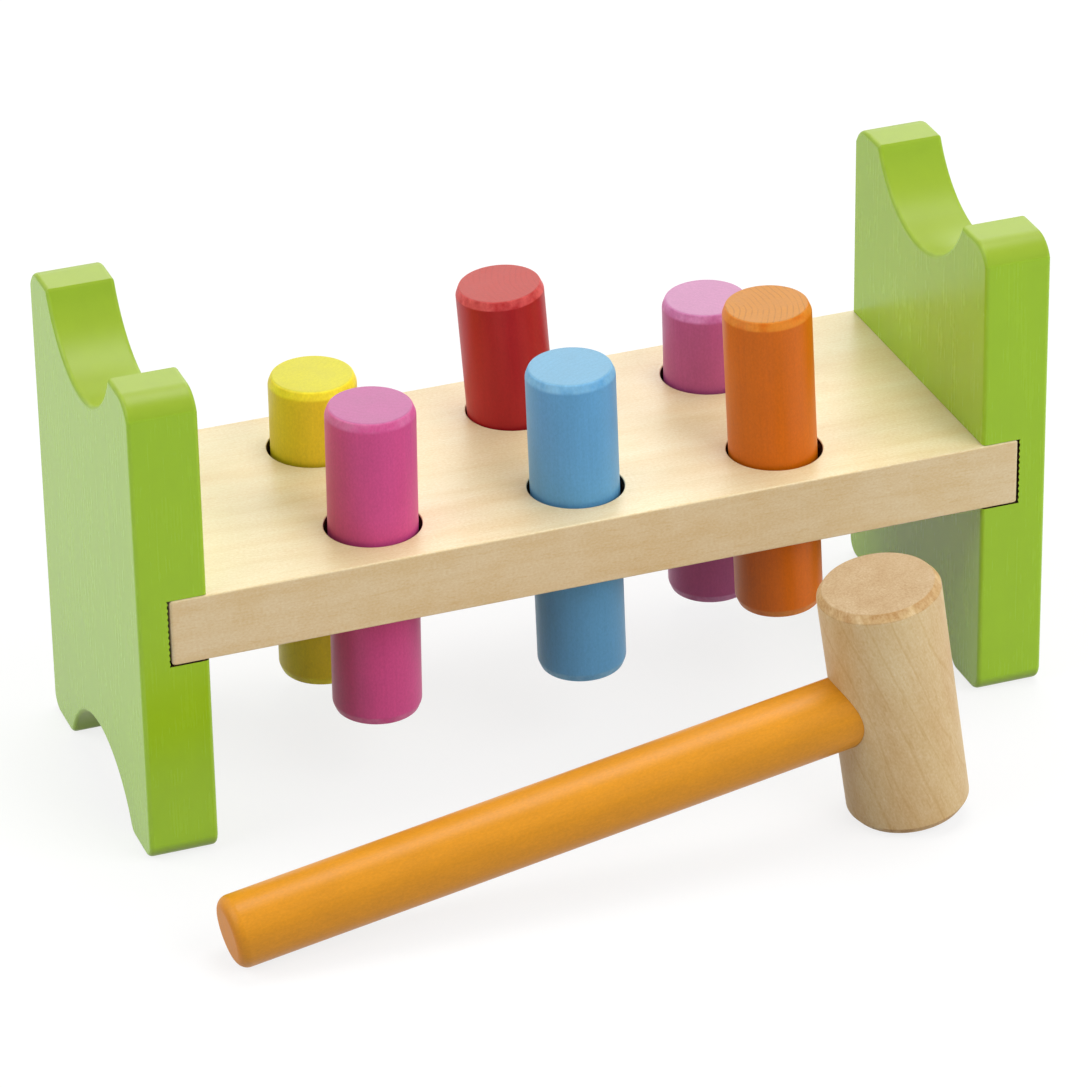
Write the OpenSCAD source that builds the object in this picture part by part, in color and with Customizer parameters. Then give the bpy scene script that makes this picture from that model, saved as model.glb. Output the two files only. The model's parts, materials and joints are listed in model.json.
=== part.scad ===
// Peg pounding bench: a plank housed in two scalloped end panels, six pegs gripped by
// rubber rings inside the plank's holes, and a mallet lying on the floor in front.
// The floor is z = 0. The origin is the middle of the floor that bench and mallet cover.

/* [Bench] */
// Depth of the bench from front to back
bench_depth = 86; // [78:1:110]
// Height of the end panels
panel_height = 129; // [120:1:160]
// Thickness of the end panels
panel_thickness = 18; // [15:0.5:24]
// Clear length between the end panels
inner_length = 209; // [195:1:260]
// Thickness of the plank
plank_thickness = 18; // [15:0.5:24]
// Depth of the groove that houses each end of the plank
dado_depth = 10.5; // [6:0.5:12]
// Gap over the plank in its grooves
dado_gap_over = 0.1; // [0.05:0.05:0.3]
// Gap under the plank in its grooves
dado_gap_under = 0.4; // [0.05:0.05:0.6]
// Gap between the plank's ends and the bottoms of their grooves
dado_gap_end = 0.6; // [0.1:0.1:1]
// Radius of the plank's eased edges
plank_ease = 1; // [0.5:0.1:2]

/* [End panel outline] */
// Radius of the upper corners
corner_radius = 8; // [5:0.5:12]
// Angle of the crease where an upper corner's rounding meets the straight edge below it
corner_crease = 22; // [0:1:30]
// Radius of the lower corners
foot_radius = 5; // [3:0.5:10]
// Radius of the dip between two horns, and of the arch between two feet
dip_radius = 29; // [24:0.5:34]
// Depth of the dip and of the arch
dip_depth = 17; // [10:0.5:20]
// Radius that blends the dip into the horns
shoulder_radius = 4; // [1.8:0.1:6]
// Radius of the rounding along every edge
edge_round = 1.2; // [0.8:0.1:1.6]

/* [Pegs] */
// Diameter of a peg
peg_diameter = 23; // [20:0.5:24]
// Length of a peg
peg_length = 86; // [70:1:90]
// How far the slope round both ends of a peg draws the end in
peg_nose_in = 0.9; // [0.5:0.1:3]
// How far that slope runs along the peg
peg_nose_run = 2.2; // [0.5:0.1:4]
// Distance between the columns of pegs along the bench
peg_pitch = 54.6; // [40:0.1:70]
// Distance between the front row and the back row
row_spacing = 46; // [40:0.5:50]
// Height of the yellow peg above the plank
yellow_out = 20.6; // [15:0.1:60]
// Height of the magenta peg above the plank
magenta_out = 33.5; // [15:0.1:60]
// Height of the red peg above the plank
red_out = 37; // [15:0.1:60]
// Height of the blue peg above the plank
blue_out = 34.2; // [15:0.1:60]
// Height of the lilac peg above the plank
lilac_out = 22.3; // [15:0.1:60]
// Height of the orange peg above the plank
orange_out = 41.7; // [15:0.1:60]
// Sideways lean of the yellow peg in its loose hole, to the right where positive
yellow_lean = 0; // [-4.5:0.1:4.5]
// Sideways lean of the magenta peg
magenta_lean = 0.4; // [-4.5:0.1:4.5]
// Sideways lean of the red peg
red_lean = -4; // [-4.5:0.1:4.5]
// Sideways lean of the blue peg
blue_lean = -1.5; // [-4.5:0.1:4.5]
// Sideways lean of the lilac peg
lilac_lean = -1; // [-4.5:0.1:4.5]
// Sideways lean of the orange peg
orange_lean = -2.6; // [-4.5:0.1:4.5]

/* [Holes and grip rings] */
// Gap between a peg and the wall of its hole
hole_gap = 1; // [0.5:0.1:2]
// Thickness of the rubber cord that a grip ring is made of
ring_section = 3.2; // [2.5:0.1:5]
// Gap between a grip ring and its peg or its groove
ring_clearance = 0.05; // [0.02:0.01:0.1]

/* [Mallet] */
// Diameter of the mallet's head
head_diameter = 31.5; // [28:0.5:45]
// Length of the mallet's head
head_length = 66; // [50:1:90]
// How far the slope round both ends of the head draws the end in
head_nose_in = 1.5; // [0.5:0.1:4]
// How far that slope runs along the head
head_nose_run = 2; // [0.5:0.1:4]
// Diameter of the handle
handle_diameter = 18.7; // [14:0.1:22]
// Length of the handle outside the head, from the head's axis to the handle's end
handle_reach = 180.7; // [120:1:200]
// How far the handle runs past the head's axis into its socket
handle_tail = 8; // [2:0.5:10]
// Radius of the rounding at the handle's outer end
handle_end_round = 3; // [1:0.1:6]
// Gap between the handle and its socket
socket_clearance = 0.05; // [0.02:0.01:0.1]

/* [Mallet place] */
// Distance of the head to the right of the bench's middle
mallet_x = 59.9; // [20:0.1:75]
// Distance of the head in front of the bench's middle
mallet_lane = 88.8; // [85:0.1:120]
// Turn of the mallet on the floor, with the handle's end swinging forward
mallet_heading = 2; // [-5:0.5:8]

/* [Hidden] */
$fn = 96;

// One length by which every cutting shape runs past what it cuts
overrun = 1;

// Steps along each arc of the panel's outline, and round its rounded edges
corner_steps = 8;
shoulder_steps = 5;
dip_steps = 18;
edge_steps = 4;
// Steps round the eased edges of the plank and the handle's rounded end
ease_steps = 4;
end_steps = 6;

panel_green = "#92b839";
natural_wood = "#e2c795";
handle_amber = "#e19128";
rubber_grey = "#3b3a38";

half_depth = bench_depth / 2;
half_height = panel_height / 2;
half_inner = inner_length / 2;
half_outer = half_inner + panel_thickness;
plank_length = inner_length + 2 * (dado_depth - dado_gap_end);
// The plank's ends are eased a little less than its long edges.
plank_end_ease = 0.8 * plank_ease;

// Centres of the arcs in the panel's upper right quarter, measured from the panel's middle.
// The dip's circle and the shoulder's circle touch where they meet.
dip_centre = [0, half_height - dip_depth + dip_radius];
blend_reach = dip_radius + shoulder_radius;
shoulder_y = sqrt(dip_depth * (2 * blend_reach - dip_depth));
shoulder_centre = [shoulder_y, half_height - shoulder_radius];
shoulder_turn = atan2(shoulder_y, blend_reach - dip_depth);

// The pegs in columns from left to right, with the back one of each column first
peg_names = ["yellow", "magenta", "red", "blue", "lilac", "orange"];
peg_colours = ["#f4e11e", "#cd4187", "#b9282d", "#5fa5d7", "#b95596", "#d26e28"];
peg_columns = [-1, -1, 0, 0, 1, 1];
peg_rows = [1, -1, 1, -1, 1, -1];
peg_outs = [yellow_out, magenta_out, red_out, blue_out, lilac_out, orange_out];
peg_leans = [yellow_lean, magenta_lean, red_lean, blue_lean, lilac_lean, orange_lean];
peg_radius = peg_diameter / 2;

hole_radius = peg_radius + hole_gap;
ring_middle = peg_radius + ring_clearance + ring_section / 2;
groove_radius = ring_middle + ring_section / 2 + ring_clearance;
groove_width = ring_section + 2 * ring_clearance;

head_radius = head_diameter / 2;
handle_radius = handle_diameter / 2;
socket_radius = handle_radius + socket_clearance;
socket_depth = handle_tail + socket_clearance;

// The mallet leans until its head's lower rim and its handle's rounded end both touch the floor.
rim_radius = head_radius - head_nose_in;
lean_rise = head_length / 2 - handle_radius + handle_end_round;
lean_run = handle_reach - handle_end_round - rim_radius;
mallet_lean = acos(handle_end_round / norm([lean_rise, lean_run])) - atan2(lean_run, lean_rise);
mallet_z = cos(mallet_lean) * head_length / 2 + sin(mallet_lean) * rim_radius;

// Bench and mallet share the floor evenly before and behind the origin.
set_depth = half_depth + mallet_lane + head_radius;
bench_y = set_depth / 2 - half_depth;
mallet_y = bench_y - mallet_lane;

// Points along an arc, both ends included
function arc(centre, radius, from, to, steps) = [
    for (i = [0:steps])
        let (angle = from + (to - from) * i / steps)
            centre + radius * [cos(angle), sin(angle)]
];

// A list without its first and last entries
function middle(list) = [for (i = [1:len(list) - 2]) list[i]];

// A point mirrored to the other side of the panel's middle
function across(point) = [-point[0], point[1]];

// The arc round a panel's right corner, drawn in by an inset, from its crease up
function corner_arc(radius, crease, inset) = arc(
    [half_depth - radius * cos(crease), half_height - radius], radius - inset, crease, 90, corner_steps
);

// Half a panel's outline, drawn in by an inset: right corner, right shoulder, dip, left shoulder,
// left corner
function half_outline(radius, crease, inset) = let (corner = corner_arc(radius, crease, inset)) concat(
    corner,
    arc(shoulder_centre, shoulder_radius - inset, 90, 90 + shoulder_turn, shoulder_steps),
    middle(arc(dip_centre, dip_radius + inset, shoulder_turn - 90, -shoulder_turn - 90, dip_steps)),
    arc(across(shoulder_centre), shoulder_radius - inset, 90 - shoulder_turn, 90, shoulder_steps),
    [for (i = [corner_steps:-1:0]) across(corner[i])]
);

// The whole outline: horns and dip above, feet and arch below
function panel_outline(inset) = concat(
    half_outline(corner_radius, corner_crease, inset),
    -half_outline(foot_radius, 0, inset)
);

// The plank's outline across its length, with eased corners
function plank_outline(inset) = let (
    y = half_depth - plank_ease,
    z = plank_thickness / 2 - plank_ease,
    upper = concat(
        arc([y, z], plank_ease - inset, 0, 90, ease_steps),
        arc([-y, z], plank_ease - inset, 90, 180, ease_steps)
    )
) concat(upper, -upper);

// Places along a board, each with how far its outline is drawn in there to round both ends' edges
function stations(length, radius, steps) = let (
    near = [for (k = [0:steps]) radius * [1 - cos(90 * k / steps), 1 - sin(90 * k / steps)]]
) concat(near, [for (k = [steps:-1:0]) [length - near[k][0], near[k][1]]]);

// A solid lofted through outlines that lie across the X axis. The points of an outline's lower
// half pair with those of its upper half, so upright strips between the two close both ends.
module loft(rings) {
    count = len(rings[0]);
    end = len(rings) * count - 1;
    sides = [
        for (j = [0:len(rings) - 2], i = [0:count - 1])
            let (next = (i + 1) % count, a = j * count, b = a + count)
                [a + i, b + i, b + next, a + next]
    ];
    strips = [for (i = [0:count / 2 - 2]) [i, i + 1, count - 2 - i, count - 1 - i]];
    far_strips = [for (strip = strips) [for (i = strip) end - i]];
    polyhedron([for (ring = rings) each ring], concat(sides, strips, far_strips));
}

// An end panel with its outer face at x = 0 and the plank's groove in its inner face
module end_panel() {
    groove_floor = -plank_thickness / 2 - dado_gap_under;
    groove_height = plank_thickness + dado_gap_under + dado_gap_over;
    difference() {
        loft([
            for (station = stations(panel_thickness, edge_round, edge_steps))
                [for (p = panel_outline(station[1])) [station[0], p[0], p[1]]]
        ]);
        translate([panel_thickness - dado_depth, -half_depth - overrun, groove_floor])
            cube([dado_depth + overrun, bench_depth + 2 * overrun, groove_height]);
    }
}

module end_panel_left() {
    color(panel_green)
        translate([-half_outer, bench_y, half_height])
            end_panel();
}

module end_panel_right() {
    color(panel_green)
        mirror([1, 0, 0])
            translate([-half_outer, bench_y, half_height])
                end_panel();
}

// Moves its children to one peg's axis, at half the bench's height
module at_peg(i) {
    translate([peg_columns[i] * peg_pitch, bench_y + peg_rows[i] * row_spacing / 2, half_height])
        children();
}

module bench_plank() {
    color(natural_wood)
        difference() {
            translate([-plank_length / 2, bench_y, half_height])
                loft([
                    for (station = stations(plank_length, plank_end_ease, ease_steps))
                        [for (p = plank_outline(station[1])) [station[0], p[0], p[1]]]
                ]);
            for (i = [0:len(peg_names) - 1])
                at_peg(i) {
                    cylinder(h = plank_thickness + 2 * overrun, r = hole_radius, center = true);
                    cylinder(h = groove_width, r = groove_radius, center = true);
                }
        }
}

// The rubber ring in the groove half way down a hole
module grip_ring(i) {
    color(rubber_grey)
        at_peg(i)
            rotate_extrude()
                translate([ring_middle, 0])
                    circle(d = ring_section, $fn = 32);
}

// A turned dowel along Z with a slope round both ends, centred on the origin
module nosed_dowel(radius, length, nose_in, nose_run) {
    end = length / 2;
    rotate_extrude()
        polygon([
            [0, -end],
            [radius - nose_in, -end],
            [radius, nose_run - end],
            [radius, end - nose_run],
            [radius - nose_in, end],
            [0, end]
        ]);
}

module peg(i) {
    color(peg_colours[i])
        at_peg(i)
            rotate([0, peg_leans[i], 0])
                translate([0, 0, plank_thickness / 2 + peg_outs[i] - peg_length / 2])
                    nosed_dowel(peg_radius, peg_length, peg_nose_in, peg_nose_run);
}

// Moves its children, drawn with the head along Z and the handle along X, to where the mallet lies
module at_mallet() {
    translate([mallet_x, mallet_y, mallet_z])
        rotate([0, mallet_lean, 180 + mallet_heading])
            children();
}

module mallet_head() {
    color(natural_wood)
        at_mallet()
            difference() {
                nosed_dowel(head_radius, head_length, head_nose_in, head_nose_run);
                translate([-socket_depth, 0, 0])
                    rotate([0, 90, 0])
                        cylinder(h = socket_depth + head_radius + overrun, r = socket_radius);
            }
}

module mallet_handle() {
    end_centre = [handle_radius - handle_end_round, handle_reach - handle_end_round];
    color(handle_amber)
        at_mallet()
            rotate([0, 90, 0])
                rotate_extrude()
                    polygon(concat(
                        [[0, -handle_tail], [handle_radius, -handle_tail]],
                        arc(end_centre, handle_end_round, 0, 90, end_steps),
                        [[0, handle_reach]]
                    ));
}

end_panel_left();
end_panel_right();
bench_plank();
for (i = [0:len(peg_names) - 1]) {
    grip_ring(i);
    peg(i);
}
mallet_head();
mallet_handle();
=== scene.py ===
import json
import math

import bmesh
import bpy
from mathutils import Matrix, Vector


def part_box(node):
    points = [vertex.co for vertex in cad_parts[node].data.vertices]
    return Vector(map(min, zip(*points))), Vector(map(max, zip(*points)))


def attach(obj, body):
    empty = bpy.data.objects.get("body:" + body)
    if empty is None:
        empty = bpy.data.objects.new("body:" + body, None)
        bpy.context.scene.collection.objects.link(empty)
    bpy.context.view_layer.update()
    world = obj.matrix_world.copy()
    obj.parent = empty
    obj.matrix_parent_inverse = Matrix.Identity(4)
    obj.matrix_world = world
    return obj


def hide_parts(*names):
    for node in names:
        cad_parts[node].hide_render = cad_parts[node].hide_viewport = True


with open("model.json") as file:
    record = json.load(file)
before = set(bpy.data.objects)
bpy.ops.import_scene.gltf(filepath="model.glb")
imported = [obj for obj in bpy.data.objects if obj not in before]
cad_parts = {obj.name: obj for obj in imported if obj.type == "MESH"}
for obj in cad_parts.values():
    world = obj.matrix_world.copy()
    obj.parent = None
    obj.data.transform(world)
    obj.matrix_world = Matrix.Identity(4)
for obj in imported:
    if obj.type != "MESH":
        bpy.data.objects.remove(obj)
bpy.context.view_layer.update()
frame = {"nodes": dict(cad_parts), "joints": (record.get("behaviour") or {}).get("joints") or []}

MM = 0.001
# Which way along X each end panel lies
SIDES = {"left": -1, "right": 1}

# Outline of an end panel, with its creases as angles in degrees
CORNER_RADIUS = 8 * MM
CORNER_CREASE = 22
DIP_CREASE = 45
FOOT_RADIUS = 5 * MM
DIP_RADIUS = 29 * MM
DIP_DEPTH = 17 * MM
SHOULDER_RADIUS = 4 * MM
EDGE_ROUND = 1.2 * MM
CORNER_STEPS = 14
SHOULDER_STEPS = 10
DIP_STEPS = 44
EDGE_STEPS = 6

# Plank, grooves and holes
PLANK_EASE = 0.5 * MM
PLANK_LEAST_EASE = 0.05 * MM
PLANK_END_EASE = 1 * MM
EASE_STEPS = 5
# Gaps over and under the plank in its grooves, and behind its ends, where the groove is ragged
DADO_GAP_OVER = 0.1 * MM
DADO_GAP_UNDER = 0.4 * MM
TOOTH_PITCH = 0.85 * MM
TOOTH_GAPS = (0.62 * MM, 0.3 * MM)
# Gaps round a peg and a ring, and the easing of a hole's rims
HOLE_GAP = 1 * MM
HOLE_EASE = 0.3 * MM
HOLE_STEPS = 4
RING_CLEARANCE = 0.05 * MM

# Turned pieces
TURN_STEPS = 96
RIM_STEPS = 4
# Most of a straight stretch that one rounding may take up
RIM_SHARE = 0.45
# Radius of the face in the middle of an end, as a share of the whole radius
DOWEL_MIDDLE = 0.5
HANDLE_MIDDLE = 0.3
PEG_NOSE_IN = 0.9 * MM
PEG_NOSE_RUN = 2.2 * MM
HEAD_DIAMETER = 31.5 * MM
HEAD_LENGTH = 66 * MM
HEAD_NOSE_IN = 1.5 * MM
HEAD_NOSE_RUN = 2 * MM
HEAD_NOSE_EASE = 0.3 * MM
HEAD_ROWS = 24
HANDLE_DIAMETER = 18.7 * MM
HANDLE_REACH = 180.7 * MM
HANDLE_TAIL = 8 * MM
HANDLE_END_ROUND = 3 * MM
HANDLE_END_STEPS = 10
SOCKET_CLEARANCE = 0.05 * MM

# Place of the mallet on the floor
MALLET_X = 59.9 * MM
MALLET_LANE = 88.8 * MM
MALLET_HEADING = math.radians(2)

# A length too small to see, for telling whether a point lies on a surface
TOUCH = 0.002 * MM
# Edges that turn by more degrees than this are shaded sharp
SHARP_TURN = 32

# Paint on each peg's side, end and rim (worn paint and a painted highlight), how plainly lines show on its
# end, and its rim's rounding
PEG_COLOURS = {
    "yellow": ((232, 204, 44), (197, 189, 21), (248, 230, 54), 1.6, 0.6 * MM),
    "magenta": ((210, 78, 141), (174, 95, 140), (212, 110, 158), 1.6, 0.6 * MM),
    "red": ((173, 30, 34), (164, 49, 39), (214, 86, 84), 4.0, 0.3 * MM),
    "blue": ((97, 162, 209), (109, 159, 187), (127, 183, 218), 2.2, 0.55 * MM),
    "lilac": ((186, 90, 144), (184, 127, 162), (210, 134, 182), 1.6, 0.55 * MM),
    "orange": ((211, 105, 7), (184, 118, 12), (220, 132, 40), 8.0, 0.4 * MM),
}
# Where the growth rings' middle lies from a peg's axis, and how far it turns from one peg to the next
PITH_REACH = 24 * MM
PITH_TURN = 171
PITH_STEP = -60

# Other colours, as they look on a screen
PANEL_GREEN = (156, 198, 28)
PANEL_SLOPE = (138, 169, 27)
PANEL_END = (139, 162, 26)
# Paler green on the panels' rounded edges, a painted highlight
PANEL_EDGE_HIGHLIGHT = (176, 208, 70)
HANDLE_AMBER = (213, 141, 28)
HANDLE_END = (211, 132, 28)
PLANK_TOP = (228, 214, 175)
PLANK_WARM = (226, 203, 158)
PLANK_EDGE = (231, 210, 171)
HEAD_WOOD = (220, 194, 146)
HEAD_WARM = (210, 176, 126)
HEAD_END = (186, 158, 120)
HEAD_TORN = (182, 140, 88)
# Dark brown of the raw wood in grooves and bores, far darker than the bare wood, is painted shade
CUT_SHADE_BROWN = (52, 34, 22)
CUT_TORN = (120, 88, 54)
RUBBER_DARK = (44, 42, 40)
RUBBER_DUSTY = (66, 63, 60)

# Turns that bring an object axis to Z, along which the fibres run in the patterns below
FIBRE_TURNS = {"X": (0, -math.pi / 2, 0), "Z": (0, 0, 0)}
# Patterns in wood: width across the fibres, times longer along them, step in seed, detail and roughness
PATTERNS = {
    "fine": (0.6 * MM, 45, 0.0, 4.0, 0.62),
    "broad": (9 * MM, 7, 3.1, 3.0, 0.55),
    "grit": (0.5 * MM, 1.6, 5.3, 2.0, 0.55),
    "blotch": (6 * MM, 1.8, 6.1, 3.0, 0.6),
    "flake": (0.6 * MM, 8, 7.7, 2.0, 0.55),
    "drift": (16 * MM, 5, 9.2, 2.0, 0.55),
    "patch": (4 * MM, 1.0, 4.4, 3.0, 0.55),
}
# Where masks start and reach their full strength, in patterns and in how far a surface faces along an axis
NOISE_RANGE = (0.25, 0.75)
DASH_RANGE = (0.3, 0.1)
FADE_RANGE = (0.35, 0.6)
STAIN_RANGE = (0.3, 0.75)
EDGE_RISE = (0.08, 0.3)
EDGE_FALL = (0.97, 0.75)
EDGE_PATCH = (0.1, 0.7)
TORN_RANGE = (0.55, 0.95)
SLOPE_FROM = 0.1
# How high the grain stands at a relief of 1
GRAIN_HEIGHT = 0.04 * MM
# How far a seed of 1 shifts a pattern along each axis
SEED_SHIFT = (1.0, 1.7, 0.6)

# Raw wood in the cuts, its dark brown a painted shade: widths of torn fibres and dust, mottling, gloss and
# relief
CUT_FIBRE = 0.8 * MM
CUT_DUST = 0.3 * MM
CUT_MOTTLE = 0.3
CUT_ROUGHNESS = (0.75, 0.9)
CUT_SHINE = 0.1
CUT_RELIEF = 0.4
CUT_HEIGHT = 0.1 * MM

# Rubber: widths of its moulded grit and of dust on it, gloss and relief
RUBBER_GRIT = 0.4 * MM
RUBBER_DUST = 6 * MM
RUBBER_ROUGHNESS = (0.5, 0.7)
RUBBER_SHINE = 0.5
RUBBER_RELIEF = 0.3
RUBBER_HEIGHT = 0.05 * MM

# Floor and backdrop: sizes, how white they are where seen, and how much light they give the object
AMBIENT = 0.15
FLOOR_RADIUS = 6.0
FLOOR_SIDES = 64
FLOOR_WHITE = 0.8
FLOOR_SEEN = 0.95
FLOOR_BOUNCE = 0.5
FLOOR_ROUGHNESS = 0.9
FLOOR_SHINE = 0.0
WHITE = (1, 1, 1, 1)

# Soft lights: place, size, watts, and whether they show in glossy surfaces
LAMP_AIM = Vector((0.0, 0.0, 0.06))
LAMPS = {
    "above": ((0.35, 0.38, 2.0), (1.1, 1.1), 18.5, True),
    "back": ((0.5, 1.5, 0.9), (1.6, 1.0), 9, True),
    "left": ((-1.7, 0.2, 1.4), (2.0, 2.0), 30, True),
    "right": ((1.2, -1.5, 1.5), (2.0, 2.0), 44, False),
}

# Where the camera stands, what it looks at, and its lens on a sensor in millimetres
CAMERA_STAND = Vector((-0.458388, -1.224554, 0.772058))
CAMERA_AIM = Vector((-0.016924, -0.014388, 0.071103))
CAMERA_ROLL = math.radians(-0.957)
CAMERA_LENS = 193.695
CAMERA_SENSOR = 36
CAMERA_NEAR = 0.01
CAMERA_FAR = 50


def linear(rgb):
    """A screen colour of 0 to 255 as the linear colour that shaders take."""
    out = []
    for value in rgb:
        c = value / 255
        out.append(c / 12.92 if c <= 0.04045 else ((c + 0.055) / 1.055) ** 2.4)
    return (*out, 1.0)


# Shapes


def arc(centre, radius, start, stop, steps):
    """Points along an arc, both ends included. Angles are in degrees."""
    points = []
    for i in range(steps + 1):
        turn = math.radians(start + (stop - start) * i / steps)
        points.append((centre[0] + radius * math.cos(turn), centre[1] + radius * math.sin(turn)))
    return points


def eased(profile, radius):
    """A profile with its inner corners rounded."""
    out = [profile[0]]
    for before, corner, after in zip(profile, profile[1:], profile[2:]):
        corner = Vector(corner)
        back = Vector(before) - corner
        ahead = Vector(after) - corner
        reach = min(radius, back.length * RIM_SHARE, ahead.length * RIM_SHARE)
        start = corner + back.normalized() * reach
        stop = corner + ahead.normalized() * reach
        for i in range(RIM_STEPS + 1):
            t = i / RIM_STEPS
            spot = start * (1 - t) ** 2 + corner * 2 * t * (1 - t) + stop * t ** 2
            out.append((spot.x, spot.y))
    out.append(profile[-1])
    return out


def piece_from(name, bm):
    """A new object with a bmesh as its mesh, normals facing out."""
    bmesh.ops.recalc_face_normals(bm, faces=bm.faces)
    mesh = bpy.data.meshes.new(name)
    bm.to_mesh(mesh)
    bm.free()
    piece = bpy.data.objects.new(name, mesh)
    bpy.context.scene.collection.objects.link(piece)
    return piece


def skin(name, rings):
    """A closed solid through rings of points, with flat ends."""
    bm = bmesh.new()
    loops = [[bm.verts.new(point) for point in ring] for ring in rings]
    count = len(loops[0])
    for lower, upper in zip(loops, loops[1:]):
        for i in range(count):
            j = (i + 1) % count
            bm.faces.new((lower[i], lower[j], upper[j], upper[i]))
    bm.faces.new(loops[0][::-1])
    bm.faces.new(loops[-1])
    return piece_from(name, bm)


def turned(name, profile):
    """A solid turned round Z from a profile of radius and height."""
    rings = []
    for radius, height in profile:
        ring = []
        for i in range(TURN_STEPS):
            turn = 2 * math.pi * i / TURN_STEPS
            ring.append((radius * math.cos(turn), radius * math.sin(turn), height))
        rings.append(ring)
    return skin(name, rings)


def settle(piece):
    """Bakes a piece's modifiers into its mesh."""
    bpy.context.view_layer.update()
    shaped = piece.evaluated_get(bpy.context.evaluated_depsgraph_get())
    mesh = bpy.data.meshes.new_from_object(shaped)
    old = piece.data
    piece.modifiers.clear()
    piece.data = mesh
    mesh.name = piece.name
    bpy.data.meshes.remove(old)


def cut(piece, cutter):
    """Takes a cutter's volume out of a piece."""
    bite = piece.modifiers.new("cut", "BOOLEAN")
    bite.operation = "DIFFERENCE"
    bite.solver = "EXACT"
    bite.object = cutter
    settle(piece)
    bpy.data.objects.remove(cutter)


def smooth(piece):
    """Smooth shading that breaks at sharp edges and keeps flat faces flat."""
    piece.data.shade_smooth()
    piece.data.set_sharp_from_angle(angle=math.radians(SHARP_TURN))
    weigh = piece.modifiers.new("normals", "WEIGHTED_NORMAL")
    weigh.keep_sharp = True


def finish_piece(piece, body, node, material):
    """Gives a piece its material and puts it on its body in place of a CAD node."""
    piece.data.materials.clear()
    piece.data.materials.append(material)
    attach(piece, body)
    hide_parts(node)


def line_with(piece, material, inside):
    """Gives a second material to the faces whose every corner passes a test."""
    piece.data.materials.append(material)
    corners = [vertex.co for vertex in piece.data.vertices]
    for face in piece.data.polygons:
        if all(inside(corners[i]) for i in face.vertices):
            face.material_index = 1


def stations(length, radius, steps):
    """Places along a board, with how far its outline is drawn in there to round its ends' edges."""
    near = []
    for k in range(steps + 1):
        turn = math.radians(90 * k / steps)
        near.append((radius * (1 - math.cos(turn)), radius * (1 - math.sin(turn))))
    return near + [(length - place, inset) for place, inset in near[::-1]]


# End panels


def shoulder_arc(crease, inset):
    """The arc from a panel's straight top into its dip, which leaves the top at the angle of a crease.

    Gives how far out its centre is from the dip's middle and below the top, and the angles it runs between.
    """
    drop = SHOULDER_RADIUS * math.cos(math.radians(crease))
    below_dip = DIP_RADIUS - DIP_DEPTH + drop
    out = math.sqrt((DIP_RADIUS + SHOULDER_RADIUS) ** 2 - below_dip ** 2)
    start = math.degrees(math.acos((drop - inset) / (SHOULDER_RADIUS - inset)))
    stop = math.degrees(math.atan2(out, below_dip))
    return out, drop, start, stop


def half_outline(radius, crease, dip_crease, inset, depth, height):
    """The upper half of a panel's outline, drawn in by an inset, from the +Y edge to the -Y edge."""
    corner = (depth / 2 - radius, height / 2 - radius)
    dip = (0.0, height / 2 - DIP_DEPTH + DIP_RADIUS)
    out, drop, start, stop = shoulder_arc(dip_crease, inset)
    shoulder_z = height / 2 - drop
    shoulder_r = SHOULDER_RADIUS - inset
    points = arc(corner, radius - inset, crease, 90, CORNER_STEPS)
    points += arc((out, shoulder_z), shoulder_r, 90 + start, 90 + stop, SHOULDER_STEPS)
    points += arc(dip, DIP_RADIUS + inset, stop - 90, -stop - 90, DIP_STEPS)[1:-1]
    points += arc((-out, shoulder_z), shoulder_r, 90 - stop, 90 - start, SHOULDER_STEPS)
    points += arc((-corner[0], corner[1]), radius - inset, 90, 180 - crease, CORNER_STEPS)
    return points


def on_crease(spot, depth, height):
    """Whether a point of a panel lies on a crease: below an upper corner's rounding or above the dip's."""
    crease = math.radians(CORNER_CREASE)
    inset = (depth / 2 - abs(spot.y)) / math.cos(crease)
    line = height / 2 - CORNER_RADIUS + (CORNER_RADIUS - inset) * math.sin(crease)
    if inset <= EDGE_ROUND + TOUCH and abs(spot.z - line) < TOUCH:
        return True
    inset = height / 2 - spot.z
    if not -TOUCH <= inset <= EDGE_ROUND + TOUCH:
        return False
    out, _, start, _ = shoulder_arc(DIP_CREASE, inset)
    return abs(abs(spot.y) - out + (SHOULDER_RADIUS - inset) * math.sin(math.radians(start))) < TOUCH


def sharpen_creases(panel, depth, height):
    """Keeps a panel's creases sharp."""
    creased = [on_crease(vertex.co, depth, height) for vertex in panel.data.vertices]
    for edge in panel.data.edges:
        if all(creased[i] for i in edge.vertices):
            edge.use_edge_sharp = True


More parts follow.
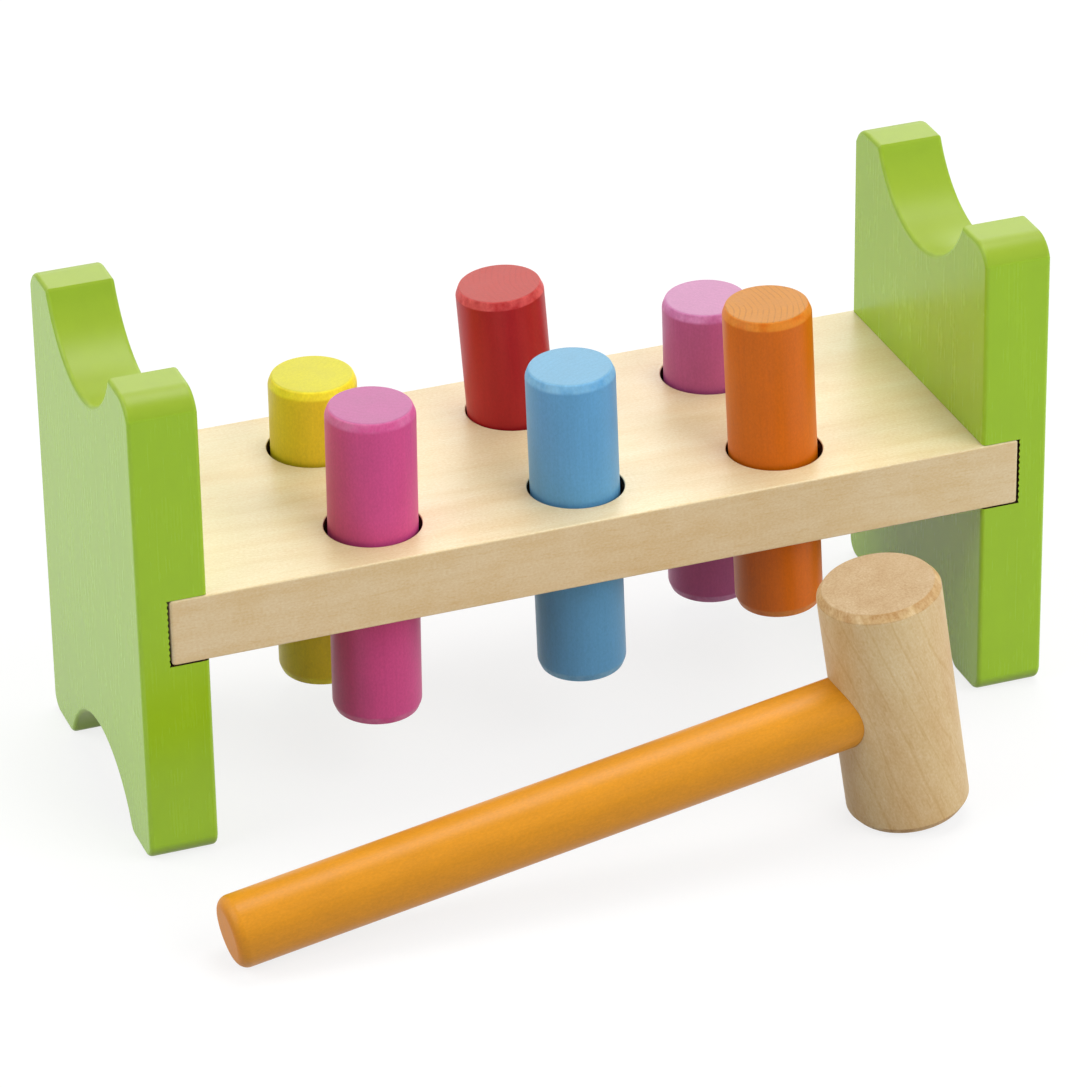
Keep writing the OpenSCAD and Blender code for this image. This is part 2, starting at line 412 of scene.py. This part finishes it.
def end_panel(name, paint, groove_shaded_wood):
    """An end panel, with the groove that the plank's end sits in."""
    side = SIDES[name]
    node = "end_panel_" + name
    low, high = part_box(node)
    size = high - low
    rings = []
    for place, inset in stations(size.x, EDGE_ROUND, EDGE_STEPS):
        outline = half_outline(CORNER_RADIUS, CORNER_CREASE, DIP_CREASE, inset, size.y, size.z)
        lower = half_outline(FOOT_RADIUS, 0, 0, inset, size.y, size.z)
        outline += [(-y, -z) for y, z in lower]
        rings.append([(side * (size.x / 2 - place), y, z) for y, z in outline])
    panel = skin("panel_" + name, rings)

    middle = (low + high) / 2
    plank_low, plank_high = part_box("bench_plank")
    top = plank_high.z + DADO_GAP_OVER - middle.z
    bottom = plank_low.z - DADO_GAP_UNDER - middle.z
    plank_end = plank_high.x - abs(middle.x)
    corners = [(-size.x, bottom), (-size.x, top)]
    teeth = round((top - bottom) / TOOTH_PITCH)
    for i in range(teeth + 1):
        corners.append((plank_end + TOOTH_GAPS[i % 2], top + (bottom - top) * i / teeth))
    cut(panel, skin("groove", [[(side * x, y, z) for x, z in corners] for y in (-size.y, size.y)]))
    panel.location = middle
    smooth(panel)
    sharpen_creases(panel, size.y, size.z)
    finish_piece(panel, "bench", node, paint)
    # The groove's faces get the cuts' dark brown, a painted shade
    line_with(panel, groove_shaded_wood, lambda co: (
        side * co.x <= plank_end + TOOTH_GAPS[0] + TOUCH and bottom - TOUCH <= co.z <= top + TOUCH
    ))


# Plank


def plank_section(half, inset):
    """The plank's outline across its length, with eased corners, drawn in by an inset."""
    ease = max(PLANK_EASE - inset, PLANK_LEAST_EASE)
    y = half.y - inset - ease
    z = half.z - inset - ease
    section = []
    for quarter, (across, up) in enumerate(((1, 1), (-1, 1), (-1, -1), (1, -1))):
        section += arc((across * y, up * z), ease, 90 * quarter, 90 * quarter + 90, EASE_STEPS)
    return section


def hole_cutter(colour, half_height):
    """What is cut away for a peg's hole and its ring's groove, with the groove's radius."""
    ring_low, ring_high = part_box("grip_ring_" + colour)
    peg_low, peg_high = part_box("peg_" + colour)
    hole = (peg_high.y - peg_low.y) / 2 + HOLE_GAP
    groove = (ring_high.x - ring_low.x) / 2 + RING_CLEARANCE
    groove_half = (ring_high.z - ring_low.z) / 2 + RING_CLEARANCE
    flare = arc((hole + HOLE_EASE, half_height - HOLE_EASE), HOLE_EASE, 180, 90, HOLE_STEPS)
    upper = [(groove, groove_half), (hole, groove_half)] + flare
    upper.append((hole + HOLE_EASE, half_height + HOLE_EASE))
    lower = [(r, -h) for r, h in upper[::-1]]
    return turned("hole", lower + upper), groove


def plank(wood, bore_shaded_wood):
    """The plank, with eased edges and six holes that each hold a ring groove."""
    low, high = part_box("bench_plank")
    middle = (low + high) / 2
    half = (high - low) / 2
    rings = []
    for place, inset in stations(2 * half.x, PLANK_END_EASE, EASE_STEPS):
        rings.append([(place - half.x, y, z) for y, z in plank_section(half, inset)])
    board = skin("plank", rings)
    holes = []
    for colour in PEG_COLOURS:
        ring_low, ring_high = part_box("grip_ring_" + colour)
        spot = (ring_low + ring_high) / 2 - middle
        cutter, groove = hole_cutter(colour, half.z)
        cutter.location = spot
        cut(board, cutter)
        holes.append((spot.xy, groove + TOUCH))
    board.location = middle
    smooth(board)
    finish_piece(board, "bench", "bench_plank", wood)
    bore_half = half.z - HOLE_EASE + TOUCH
    # The bores get the cuts' dark brown, a painted shade
    line_with(board, bore_shaded_wood, lambda co: (
        abs(co.z) <= bore_half and any((co.xy - spot).length <= reach for spot, reach in holes)
    ))


# Pegs and mallet


def dowel(name, radius, length, nose_in, nose_run, ease, rows=1):
    """A dowel along Z with a softened slope round both ends."""
    end = length / 2
    middle = radius * DOWEL_MIDDLE
    profile = [(middle, -end), (radius - nose_in, -end), (radius, nose_run - end)]
    for i in range(1, rows):
        profile.append((radius, (nose_run - end) + (length - 2 * nose_run) * i / rows))
    profile += [(radius, end - nose_run), (radius - nose_in, end), (middle, end)]
    return turned(name, eased(profile, ease))


def peg(colour, axis):
    """One peg, standing along its joint's axis where its CAD node stands."""
    *_, rim = PEG_COLOURS[colour]
    low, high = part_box("peg_" + colour)
    radius = (high.y - low.y) / 2
    lean = math.atan2(axis[0], axis[2])
    tilted_rim = 2 * (radius - PEG_NOSE_IN) * abs(math.sin(lean))
    length = (high.z - low.z - tilted_rim) / math.cos(lean)
    made = dowel(colour + "_dowel", radius, length, PEG_NOSE_IN, PEG_NOSE_RUN, rim)
    made.matrix_world = Matrix.Translation((low + high) / 2) @ Matrix.Rotation(lean, 4, "Y")
    smooth(made)
    return made


def mallet_place():
    """Where the mallet lies: its head along local Z and its handle along local X."""
    rim = HEAD_DIAMETER / 2 - HEAD_NOSE_IN
    rise = HEAD_LENGTH / 2 - HANDLE_DIAMETER / 2 + HANDLE_END_ROUND
    run = HANDLE_REACH - HANDLE_END_ROUND - rim
    lean = math.acos(HANDLE_END_ROUND / math.hypot(rise, run)) - math.atan2(run, rise)
    z = math.cos(lean) * HEAD_LENGTH / 2 + math.sin(lean) * rim
    panel_low, panel_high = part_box("end_panel_left")
    y = (panel_low.y + panel_high.y) / 2 - MALLET_LANE
    place = Matrix.Translation((MALLET_X, y, z))
    place = place @ Matrix.Rotation(math.pi + MALLET_HEADING, 4, "Z")
    return place @ Matrix.Rotation(lean, 4, "Y")


def mallet_head(place):
    """The head, with the socket that the handle is glued into."""
    radius = HEAD_DIAMETER / 2
    head = dowel("head", radius, HEAD_LENGTH, HEAD_NOSE_IN, HEAD_NOSE_RUN, HEAD_NOSE_EASE, HEAD_ROWS)
    socket_radius = HANDLE_DIAMETER / 2 + SOCKET_CLEARANCE
    socket = turned("socket", [
        (socket_radius, -HANDLE_TAIL - SOCKET_CLEARANCE),
        (socket_radius, HEAD_DIAMETER),
    ])
    socket.matrix_world = Matrix.Rotation(math.pi / 2, 4, "Y")
    cut(head, socket)
    smooth(head)
    head.matrix_world = place
    return head


def mallet_handle(place):
    """The handle, along its own Z."""
    radius = HANDLE_DIAMETER / 2
    centre = (radius - HANDLE_END_ROUND, HANDLE_REACH - HANDLE_END_ROUND)
    profile = [(radius * DOWEL_MIDDLE, -HANDLE_TAIL), (radius, -HANDLE_TAIL)]
    profile += arc(centre, HANDLE_END_ROUND, 0, 90, HANDLE_END_STEPS)
    profile.append((radius * HANDLE_MIDDLE, HANDLE_REACH))
    handle = turned("handle", profile)
    handle.matrix_world = place @ Matrix.Rotation(math.pi / 2, 4, "Y")
    smooth(handle)
    return handle


# Materials


class Tree:
    """Builds the nodes of one material."""

    def __init__(self, name):
        self.material = bpy.data.materials.new(name)
        self.material.use_nodes = True
        self.nodes = self.material.node_tree.nodes
        self.links = self.material.node_tree.links
        self.shader = self.nodes["Principled BSDF"]

    def feed(self, socket, value):
        """Sets a socket to a value, or links it to an output."""
        if isinstance(value, bpy.types.NodeSocket):
            self.links.new(value, socket)
        else:
            socket.default_value = value

    def surface(self, colour, roughness, shine):
        """Gives the shader its colour, roughness and shine, each as a value or an output."""
        self.feed(self.shader.inputs["Base Color"], colour)
        self.feed(self.shader.inputs["Roughness"], roughness)
        self.feed(self.shader.inputs["Specular IOR Level"], shine)

    def calc(self, operation, a, b=0.0, c=0.0):
        """The result of one arithmetic step."""
        node = self.nodes.new("ShaderNodeMath")
        node.operation = operation
        for socket, value in zip(node.inputs, (a, b, c)):
            self.feed(socket, value)
        return node.outputs[0]

    def mapped(self, vector, turn=(0, 0, 0), scale=(1, 1, 1), shift=(0, 0, 0)):
        """A vector scaled, turned and shifted."""
        node = self.nodes.new("ShaderNodeMapping")
        self.links.new(vector, node.inputs["Vector"])
        node.inputs["Rotation"].default_value = turn
        node.inputs["Scale"].default_value = scale
        node.inputs["Location"].default_value = shift
        return node.outputs[0]

    def fibres(self, axis, slant=0.0):
        """Object coordinates turned so that the fibres, which may slant in the piece, run along Z."""
        coords = self.nodes.new("ShaderNodeTexCoord").outputs["Object"]
        turn = Vector(FIBRE_TURNS[axis])
        turn.y -= slant
        return self.mapped(coords, turn=turn)

    def noise(self, coords, width, draw=1.0, seed=0.0, detail=3.0, roughness=0.55):
        """Noise from 0 to 1 with features of a width, drawn out along Z."""
        node = self.nodes.new("ShaderNodeTexNoise")
        shift = [seed * way for way in SEED_SHIFT]
        shifted = self.mapped(coords, scale=(1, 1, 1 / draw), shift=shift)
        self.links.new(shifted, node.inputs["Vector"])
        node.inputs["Scale"].default_value = 1 / width
        node.inputs["Detail"].default_value = detail
        node.inputs["Roughness"].default_value = roughness
        return self.spread(node.outputs["Fac"], *NOISE_RANGE)

    def growth(self, coords, pith, spacing, sway, line):
        """Growth rings round a pith line along Z, as 1 on dark lines that take up a share of each ring."""
        across = self.mapped(coords, scale=(1, 1, 0), shift=(-pith[0], -pith[1], 0))
        reach = self.nodes.new("ShaderNodeVectorMath")
        reach.operation = "LENGTH"
        self.links.new(across, reach.inputs[0])
        turns = self.calc("MULTIPLY_ADD", reach.outputs["Value"], 1 / spacing, sway)
        wave = self.calc("MULTIPLY", self.calc("PINGPONG", turns, 0.5), 2.0)
        return self.spread(wave, 1.0 - line, 1.0)

    def spread(self, value, low, high):
        """A value stretched so that low goes to 0 and high to 1."""
        node = self.nodes.new("ShaderNodeMapRange")
        self.links.new(value, node.inputs["Value"])
        node.inputs["From Min"].default_value = low
        node.inputs["From Max"].default_value = high
        return node.outputs[0]

    def between(self, pattern, first, last):
        """A value that goes from first to last as a pattern goes from 0 to 1."""
        return self.calc("MULTIPLY_ADD", pattern, last - first, first)

    def about_one(self, pattern, amount):
        """A tone of about 1 that a pattern changes by an amount in all."""
        return self.between(pattern, 1.0 - amount / 2, 1.0 + amount / 2)

    def vary(self, tone, pattern, amount):
        """A tone made lighter or darker by a pattern, by an amount in all."""
        return self.calc("MULTIPLY", tone, self.about_one(pattern, amount))

    def darken(self, tone, mask, amount):
        """A tone made darker by an amount where a mask is 1."""
        return self.calc("MULTIPLY", tone, self.between(mask, 1.0, 1.0 - amount))

    def mix(self, factor, a, b):
        """Two colours mixed by a factor."""
        node = self.nodes.new("ShaderNodeMix")
        node.data_type = "RGBA"
        self.feed(node.inputs["Factor"], factor)
        # Of the node's many sockets, these three are the ones for colours
        self.feed(node.inputs[6], a)
        self.feed(node.inputs[7], b)
        return node.outputs[2]

    def scaled(self, colour, tone):
        """A colour made lighter or darker by a tone."""
        node = self.nodes.new("ShaderNodeVectorMath")
        node.operation = "SCALE"
        self.links.new(colour, node.inputs[0])
        self.links.new(tone, node.inputs["Scale"])
        return node.outputs[0]

    def deepened(self, colour, tone, depth):
        """A colour made lighter or darker by a tone, richer where it is darker, as bare wood is."""
        node = self.nodes.new("ShaderNodeGamma")
        self.links.new(colour, node.inputs["Color"])
        self.links.new(self.calc("MULTIPLY_ADD", tone, -depth, 1.0 + depth), node.inputs["Gamma"])
        return node.outputs[0]

    def facing(self, axis):
        """How far the surface faces along an object axis, from 0 to 1."""
        coords = self.nodes.new("ShaderNodeTexCoord")
        split = self.nodes.new("ShaderNodeSeparateXYZ")
        self.links.new(coords.outputs["Normal"], split.inputs[0])
        return self.calc("ABSOLUTE", split.outputs[axis])

    def raise_by(self, height, strength, distance):
        """Bumps the surface by a height of 0 to 1."""
        bump = self.nodes.new("ShaderNodeBump")
        self.links.new(height, bump.inputs["Height"])
        bump.inputs["Strength"].default_value = strength
        bump.inputs["Distance"].default_value = distance
        self.links.new(bump.outputs[0], self.shader.inputs["Normal"])


class Wood:
    """How a wood looks, bare or under a thin finish. Amounts say how much a pattern changes its tone."""

    # How far the fibres slant from their axis
    slant = 0.0
    # Amounts of fine fibres, broad bands, fine speckle, soft blotches and short dashes
    fibre = 0.05
    band = 0.05
    speckle = 0.06
    mottle = 0.04
    dash = 0.0
    # Growth rings: amount, spacing, place of their middle, share of each that is dark, and sway
    ring = 0.0
    spacing = 3 * MM
    pith = (35 * MM, 30 * MM)
    line = 0.4
    sway = 1.0
    # How much the growth rings fade in places, and how many times as plain they are on the end grain
    faded = 0.0
    end_ring = 1.0
    # End grain: the axis it faces along, if not the fibres', how far it has to face that way, and stains
    end_axis = None
    end_from = 0.6
    end_to = 0.95
    stain = 0.0
    # Colour of slopes towards the end grain, if they have their own
    slope = None
    # Worn edges, and the painted highlight on the panels' edges and the pegs' rims: the axis they turn to,
    # if not the fibres', their colour, if not the end's, and its share
    edge_axis = None
    edge = None
    edge_mix = 0.5
    # How much richer the colour is where it is darker, for bare wood
    depth = 0.0
    # Roughness, how much more of it slopes and ends have, and how patchy it is
    roughness = 0.35
    end_rough = 0.1
    patchy = 0.06
    # Strength of the grain's relief, and shine of sides and ends
    relief = 0.1
    shine = 0.5
    end_shine = 0.2

    def __init__(self, rgb, warm, end, axis, seed, **own):
        """Takes two colours for sides, one for ends, the fibres' axis, a seed, and what else is its own."""
        self.rgb = rgb
        self.warm = warm
        self.end = end
        self.axis = axis
        self.seed = seed
        for name, value in own.items():
            setattr(self, name, value)


def ring_lines(tree, wood, coords, seen, end_mask):
    """The dark lines of the growth rings, which fade in places and may be plainer on the end grain."""
    sway = tree.calc("MULTIPLY", seen["drift"], wood.sway)
    rings = tree.growth(coords, wood.pith, wood.spacing, sway, wood.line)
    kept = tree.between(tree.spread(seen["blotch"], *FADE_RANGE), 1.0 - wood.faded, 1.0)
    rings = tree.calc("MULTIPLY", rings, kept)
    return tree.calc("MULTIPLY", rings, tree.between(end_mask, 1.0, wood.end_ring))


def wood_tone(tree, wood, coords, seen, end_mask):
    """How light the wood is from place to place, about 1."""
    tone = tree.about_one(seen["fine"], wood.fibre)
    tone = tree.vary(tone, seen["broad"], wood.band)
    tone = tree.vary(tone, seen["grit"], wood.speckle)
    tone = tree.vary(tone, seen["blotch"], wood.mottle)
    tone = tree.darken(tone, tree.spread(seen["flake"], *DASH_RANGE), wood.dash)
    tone = tree.darken(tone, ring_lines(tree, wood, coords, seen, end_mask), wood.ring)
    stains = tree.calc("MULTIPLY", end_mask, tree.spread(seen["blotch"], *STAIN_RANGE))
    return tree.darken(tone, stains, wood.stain)


def wood_colour(tree, wood, seen, sloped, end_mask):
    """The wood's colours before its tone: sides, slopes, end grain, and edges, worn on some pieces and
    painted lighter as a highlight on the panels and pegs.
    """
    # Edges get their own colour: real wear on the head, plank and handle, a painted highlight on the
    # panels, both on the peg rims
    turned_in = tree.facing(wood.edge_axis or wood.axis)
    rise = tree.spread(turned_in, *EDGE_RISE)
    fall = tree.spread(turned_in, *EDGE_FALL)
    wear_and_highlight = tree.calc("MULTIPLY", rise, fall)
    wear_and_highlight = tree.calc("MULTIPLY", wear_and_highlight, tree.spread(seen["patch"], *EDGE_PATCH))
    wear_and_highlight = tree.calc("MULTIPLY", wear_and_highlight, wood.edge_mix)
    colour = tree.mix(seen["broad"], linear(wood.warm), linear(wood.rgb))
    if wood.slope:
        colour = tree.mix(sloped, colour, linear(wood.slope))
    colour = tree.mix(end_mask, colour, linear(wood.end))
    return tree.mix(wear_and_highlight, colour, linear(wood.edge or wood.end))


def timber(name, wood):
    """A material of wood."""
    tree = Tree(name)
    coords = tree.fibres(wood.axis, wood.slant)
    seen = {}
    for pattern, (width, draw, step, detail, broken) in PATTERNS.items():
        seen[pattern] = tree.noise(coords, width, draw, wood.seed + step, detail, broken)
    facing = tree.facing(wood.end_axis or wood.axis)
    end_mask = tree.spread(facing, wood.end_from, wood.end_to)
    sloped = tree.spread(facing, SLOPE_FROM, wood.end_from)
    tone = wood_tone(tree, wood, coords, seen, end_mask)
    colour = wood_colour(tree, wood, seen, sloped, end_mask)
    shaded = tree.deepened(colour, tone, wood.depth) if wood.depth else tree.scaled(colour, tone)
    rough = tree.between(seen["blotch"], wood.roughness - wood.patchy, wood.roughness)
    rough = tree.calc("MULTIPLY_ADD", seen["fine"], wood.patchy, rough)
    rough = tree.calc("MULTIPLY_ADD", sloped, wood.end_rough, rough)
    tree.surface(shaded, rough, tree.between(end_mask, wood.shine, wood.end_shine))
    tree.raise_by(tree.calc("ADD", seen["fine"], seen["grit"]), wood.relief, GRAIN_HEIGHT)
    return tree.material


def panel_paint(name):
    """Green paint on an end panel, paler on its rounded edges as a painted highlight, and darker on its end
    grain.
    """
    return timber("green_paint_" + name, Wood(
        PANEL_GREEN, PANEL_GREEN, PANEL_END, axis="Z", seed=2.3 + SIDES[name],
        fibre=0.02, band=0.04, speckle=0.02, mottle=0.06,
        # The rounded edges take a fifth of the paler green, a painted highlight
        end_from=0.5, slope=PANEL_SLOPE, edge_axis="X", edge=PANEL_EDGE_HIGHLIGHT, edge_mix=0.2,
        roughness=0.27, end_rough=0.15, patchy=0.015, relief=0.002, shine=0.42, end_shine=0.46,
    ))


def plank_wood():
    """Bare pale wood with short dark flecks, and a duller sawn edge in front and behind."""
    return timber("plank_wood", Wood(
        PLANK_TOP, PLANK_WARM, PLANK_EDGE, axis="X", seed=0.7,
        fibre=0.08, band=0.03, speckle=0.26, mottle=0.1, dash=0.1,
        ring=0.06, spacing=5 * MM, pith=(-70 * MM, 20 * MM),
        end_axis="Y", stain=0.15, edge_axis="Z", edge_mix=0.2, depth=1.7, roughness=0.36, relief=0.12,
    ))


def peg_stain(order, colour):
    """Thin paint on a peg, its rims lighter for wear and a painted highlight, that lets the growth rings
    show on its ends.
    """
    side_rgb, end_rgb, rim_wear_and_highlight_rgb, lines, _ = PEG_COLOURS[colour]
    turn = math.radians(PITH_TURN + PITH_STEP * (order + 1))
    return timber(colour + "_stain", Wood(
        side_rgb, side_rgb, end_rgb, axis="Z", seed=1.9 * order + 0.4,
        fibre=0.06, band=0.05, speckle=0.14, mottle=0.08,
        ring=0.03, spacing=1.5 * MM, pith=(PITH_REACH * math.cos(turn), PITH_REACH * math.sin(turn)),
        # The rims take the rim colour fully: worn paint with a painted highlight
        line=0.35, faded=0.8, end_ring=lines, edge=rim_wear_and_highlight_rgb, edge_mix=1.0,
        roughness=0.4, relief=0.08, shine=0.3, end_shine=0.45,
    ))


def head_wood():
    """Bare wood of the mallet's head, with slanting fibres and torn rims."""
    return timber("head_wood", Wood(
        HEAD_WOOD, HEAD_WARM, HEAD_END, axis="Z", seed=5.2, slant=math.radians(16),
        fibre=0.10, band=0.05, speckle=0.16, mottle=0.12, dash=0.1,
        ring=0.10, spacing=6 * MM, pith=(-100 * MM, 36 * MM), line=0.14, sway=0.8, end_ring=0.3,
        edge=HEAD_TORN, edge_mix=0.9, depth=1.7, roughness=0.5, relief=0.25, shine=0.35,
    ))


def handle_stain():
    """Amber paint on the mallet's handle."""
    return timber("amber_stain", Wood(
        HANDLE_AMBER, HANDLE_AMBER, HANDLE_END, axis="Z", seed=8.8,
        fibre=0.06, band=0.05, speckle=0.14, mottle=0.10,
        edge_mix=0.2, roughness=0.36, relief=0.08, shine=0.28,
    ))


def shaded_cut_wood():
    """Raw wood inside a groove or a bore, painted dark brown as painted shade, with pale torn fibres."""
    tree = Tree("raw_cut_shaded")
    coords = tree.fibres("Z")
    torn = tree.noise(coords, CUT_FIBRE, draw=2.0, seed=2.1, detail=2.0)
    dust = tree.noise(coords, CUT_DUST, seed=6.4)
    colour = tree.mix(tree.spread(torn, *TORN_RANGE), linear(CUT_SHADE_BROWN), linear(CUT_TORN))
    colour = tree.scaled(colour, tree.about_one(dust, CUT_MOTTLE))
    tree.surface(colour, tree.between(dust, *CUT_ROUGHNESS), CUT_SHINE)
    tree.raise_by(torn, CUT_RELIEF, CUT_HEIGHT)
    return tree.material


def rubber():
    """Dull dark rubber with a fine moulded texture."""
    tree = Tree("ring_rubber")
    coords = tree.fibres("Z")
    grit = tree.noise(coords, RUBBER_GRIT, seed=1.3, roughness=0.6)
    dust = tree.noise(coords, RUBBER_DUST, seed=4.9, detail=2.0)
    colour = tree.mix(dust, linear(RUBBER_DARK), linear(RUBBER_DUSTY))
    tree.surface(colour, tree.between(grit, *RUBBER_ROUGHNESS), RUBBER_SHINE)
    tree.raise_by(grit, RUBBER_RELIEF, RUBBER_HEIGHT)
    return tree.material


# Floor, light and camera


def seen_directly(nodes, links):
    """1 for camera, glossy and transmission rays, else 0."""
    path = nodes.new("ShaderNodeLightPath")
    seen = path.outputs["Is Camera Ray"]
    for ray in ("Is Glossy Ray", "Is Transmission Ray"):
        either = nodes.new("ShaderNodeMath")
        either.operation = "MAXIMUM"
        links.new(seen, either.inputs[0])
        links.new(path.outputs[ray], either.inputs[1])
        seen = either.outputs[0]
    return seen


def studio():
    """A white backdrop that lights the object only a little."""
    world = bpy.data.worlds.new("studio")
    bpy.context.scene.world = world
    world.use_nodes = True
    nodes = world.node_tree.nodes
    links = world.node_tree.links
    nodes.clear()
    fill = nodes.new("ShaderNodeBackground")
    fill.inputs["Strength"].default_value = AMBIENT
    backdrop = nodes.new("ShaderNodeBackground")
    for shade in (fill, backdrop):
        shade.inputs["Color"].default_value = WHITE
    choose = nodes.new("ShaderNodeMixShader")
    out = nodes.new("ShaderNodeOutputWorld")
    links.new(seen_directly(nodes, links), choose.inputs[0])
    links.new(fill.outputs[0], choose.inputs[1])
    links.new(backdrop.outputs[0], choose.inputs[2])
    links.new(choose.outputs[0], out.inputs[0])


def floor_paper():
    """Matt paper that is nearly white where it is seen, keeps shadows, and gives back less light."""
    tree = Tree("floor_paper")
    direct = seen_directly(tree.nodes, tree.links)
    dim = (FLOOR_BOUNCE, FLOOR_BOUNCE, FLOOR_BOUNCE, 1)
    pale = (FLOOR_SEEN, FLOOR_SEEN, FLOOR_SEEN, 1)
    tree.surface(tree.mix(direct, dim, pale), FLOOR_ROUGHNESS, FLOOR_SHINE)
    glow = tree.nodes.new("ShaderNodeEmission")
    choose = tree.nodes.new("ShaderNodeMixShader")
    tree.links.new(tree.calc("MULTIPLY", direct, FLOOR_WHITE), choose.inputs[0])
    tree.links.new(tree.shader.outputs[0], choose.inputs[1])
    tree.links.new(glow.outputs[0], choose.inputs[2])
    tree.links.new(choose.outputs[0], tree.nodes["Material Output"].inputs[0])
    return tree.material


def floor():
    """A round floor under the object."""
    bm = bmesh.new()
    bmesh.ops.create_circle(bm, cap_ends=True, radius=FLOOR_RADIUS, segments=FLOOR_SIDES)
    disc = piece_from("floor", bm)
    disc.data.materials.append(floor_paper())


def softbox(name, spot, size, power, mirrored):
    """A rectangular soft light that looks at the object, and may show in glossy surfaces."""
    data = bpy.data.lights.new(name, "AREA")
    data.shape = "RECTANGLE"
    data.size, data.size_y = size
    data.energy = power
    lamp = bpy.data.objects.new(name, data)
    lamp.location = spot
    lamp.rotation_mode = "QUATERNION"
    lamp.rotation_quaternion = (LAMP_AIM - Vector(spot)).to_track_quat("-Z", "Y")
    lamp.visible_camera = False
    lamp.visible_glossy = mirrored
    bpy.context.scene.collection.objects.link(lamp)


def camera():
    """The camera, at the photograph's angle."""
    data = bpy.data.cameras.new("camera")
    data.lens = CAMERA_LENS
    data.sensor_width = CAMERA_SENSOR
    data.clip_start = CAMERA_NEAR
    data.clip_end = CAMERA_FAR
    made = bpy.data.objects.new("camera", data)
    ahead = (CAMERA_AIM - CAMERA_STAND).normalized()
    level = ahead.cross(Vector((0, 0, 1))).normalized()
    rise = level.cross(ahead)
    right = level * math.cos(CAMERA_ROLL) + rise * math.sin(CAMERA_ROLL)
    upward = right.cross(ahead)
    turn = Matrix((right, upward, -ahead)).transposed()
    made.matrix_world = Matrix.Translation(CAMERA_STAND) @ turn.to_4x4()
    bpy.context.scene.collection.objects.link(made)
    bpy.context.scene.camera = made


# The object

raw_cut_shaded = shaded_cut_wood()
for panel_name in SIDES:
    end_panel(panel_name, panel_paint(panel_name), raw_cut_shaded)
plank(plank_wood(), raw_cut_shaded)

axes = {joint["child"]: joint["axis"] for joint in frame["joints"]}
ring_rubber = rubber()
for order, colour in enumerate(PEG_COLOURS):
    body = colour + "_peg"
    stain = peg_stain(order, colour)
    finish_piece(peg(colour, axes[body]), body, "peg_" + colour, stain)
    for slot in frame["nodes"]["grip_ring_" + colour].material_slots:
        slot.material = ring_rubber

mallet = mallet_place()
finish_piece(mallet_head(mallet), "mallet", "mallet_head", head_wood())
finish_piece(mallet_handle(mallet), "mallet", "mallet_handle", handle_stain())

# The scene around it

studio()
floor()
for lamp_name, settings in LAMPS.items():
    softbox(lamp_name, *settings)
camera()
bpy.context.scene.view_settings.view_transform = "Standard"
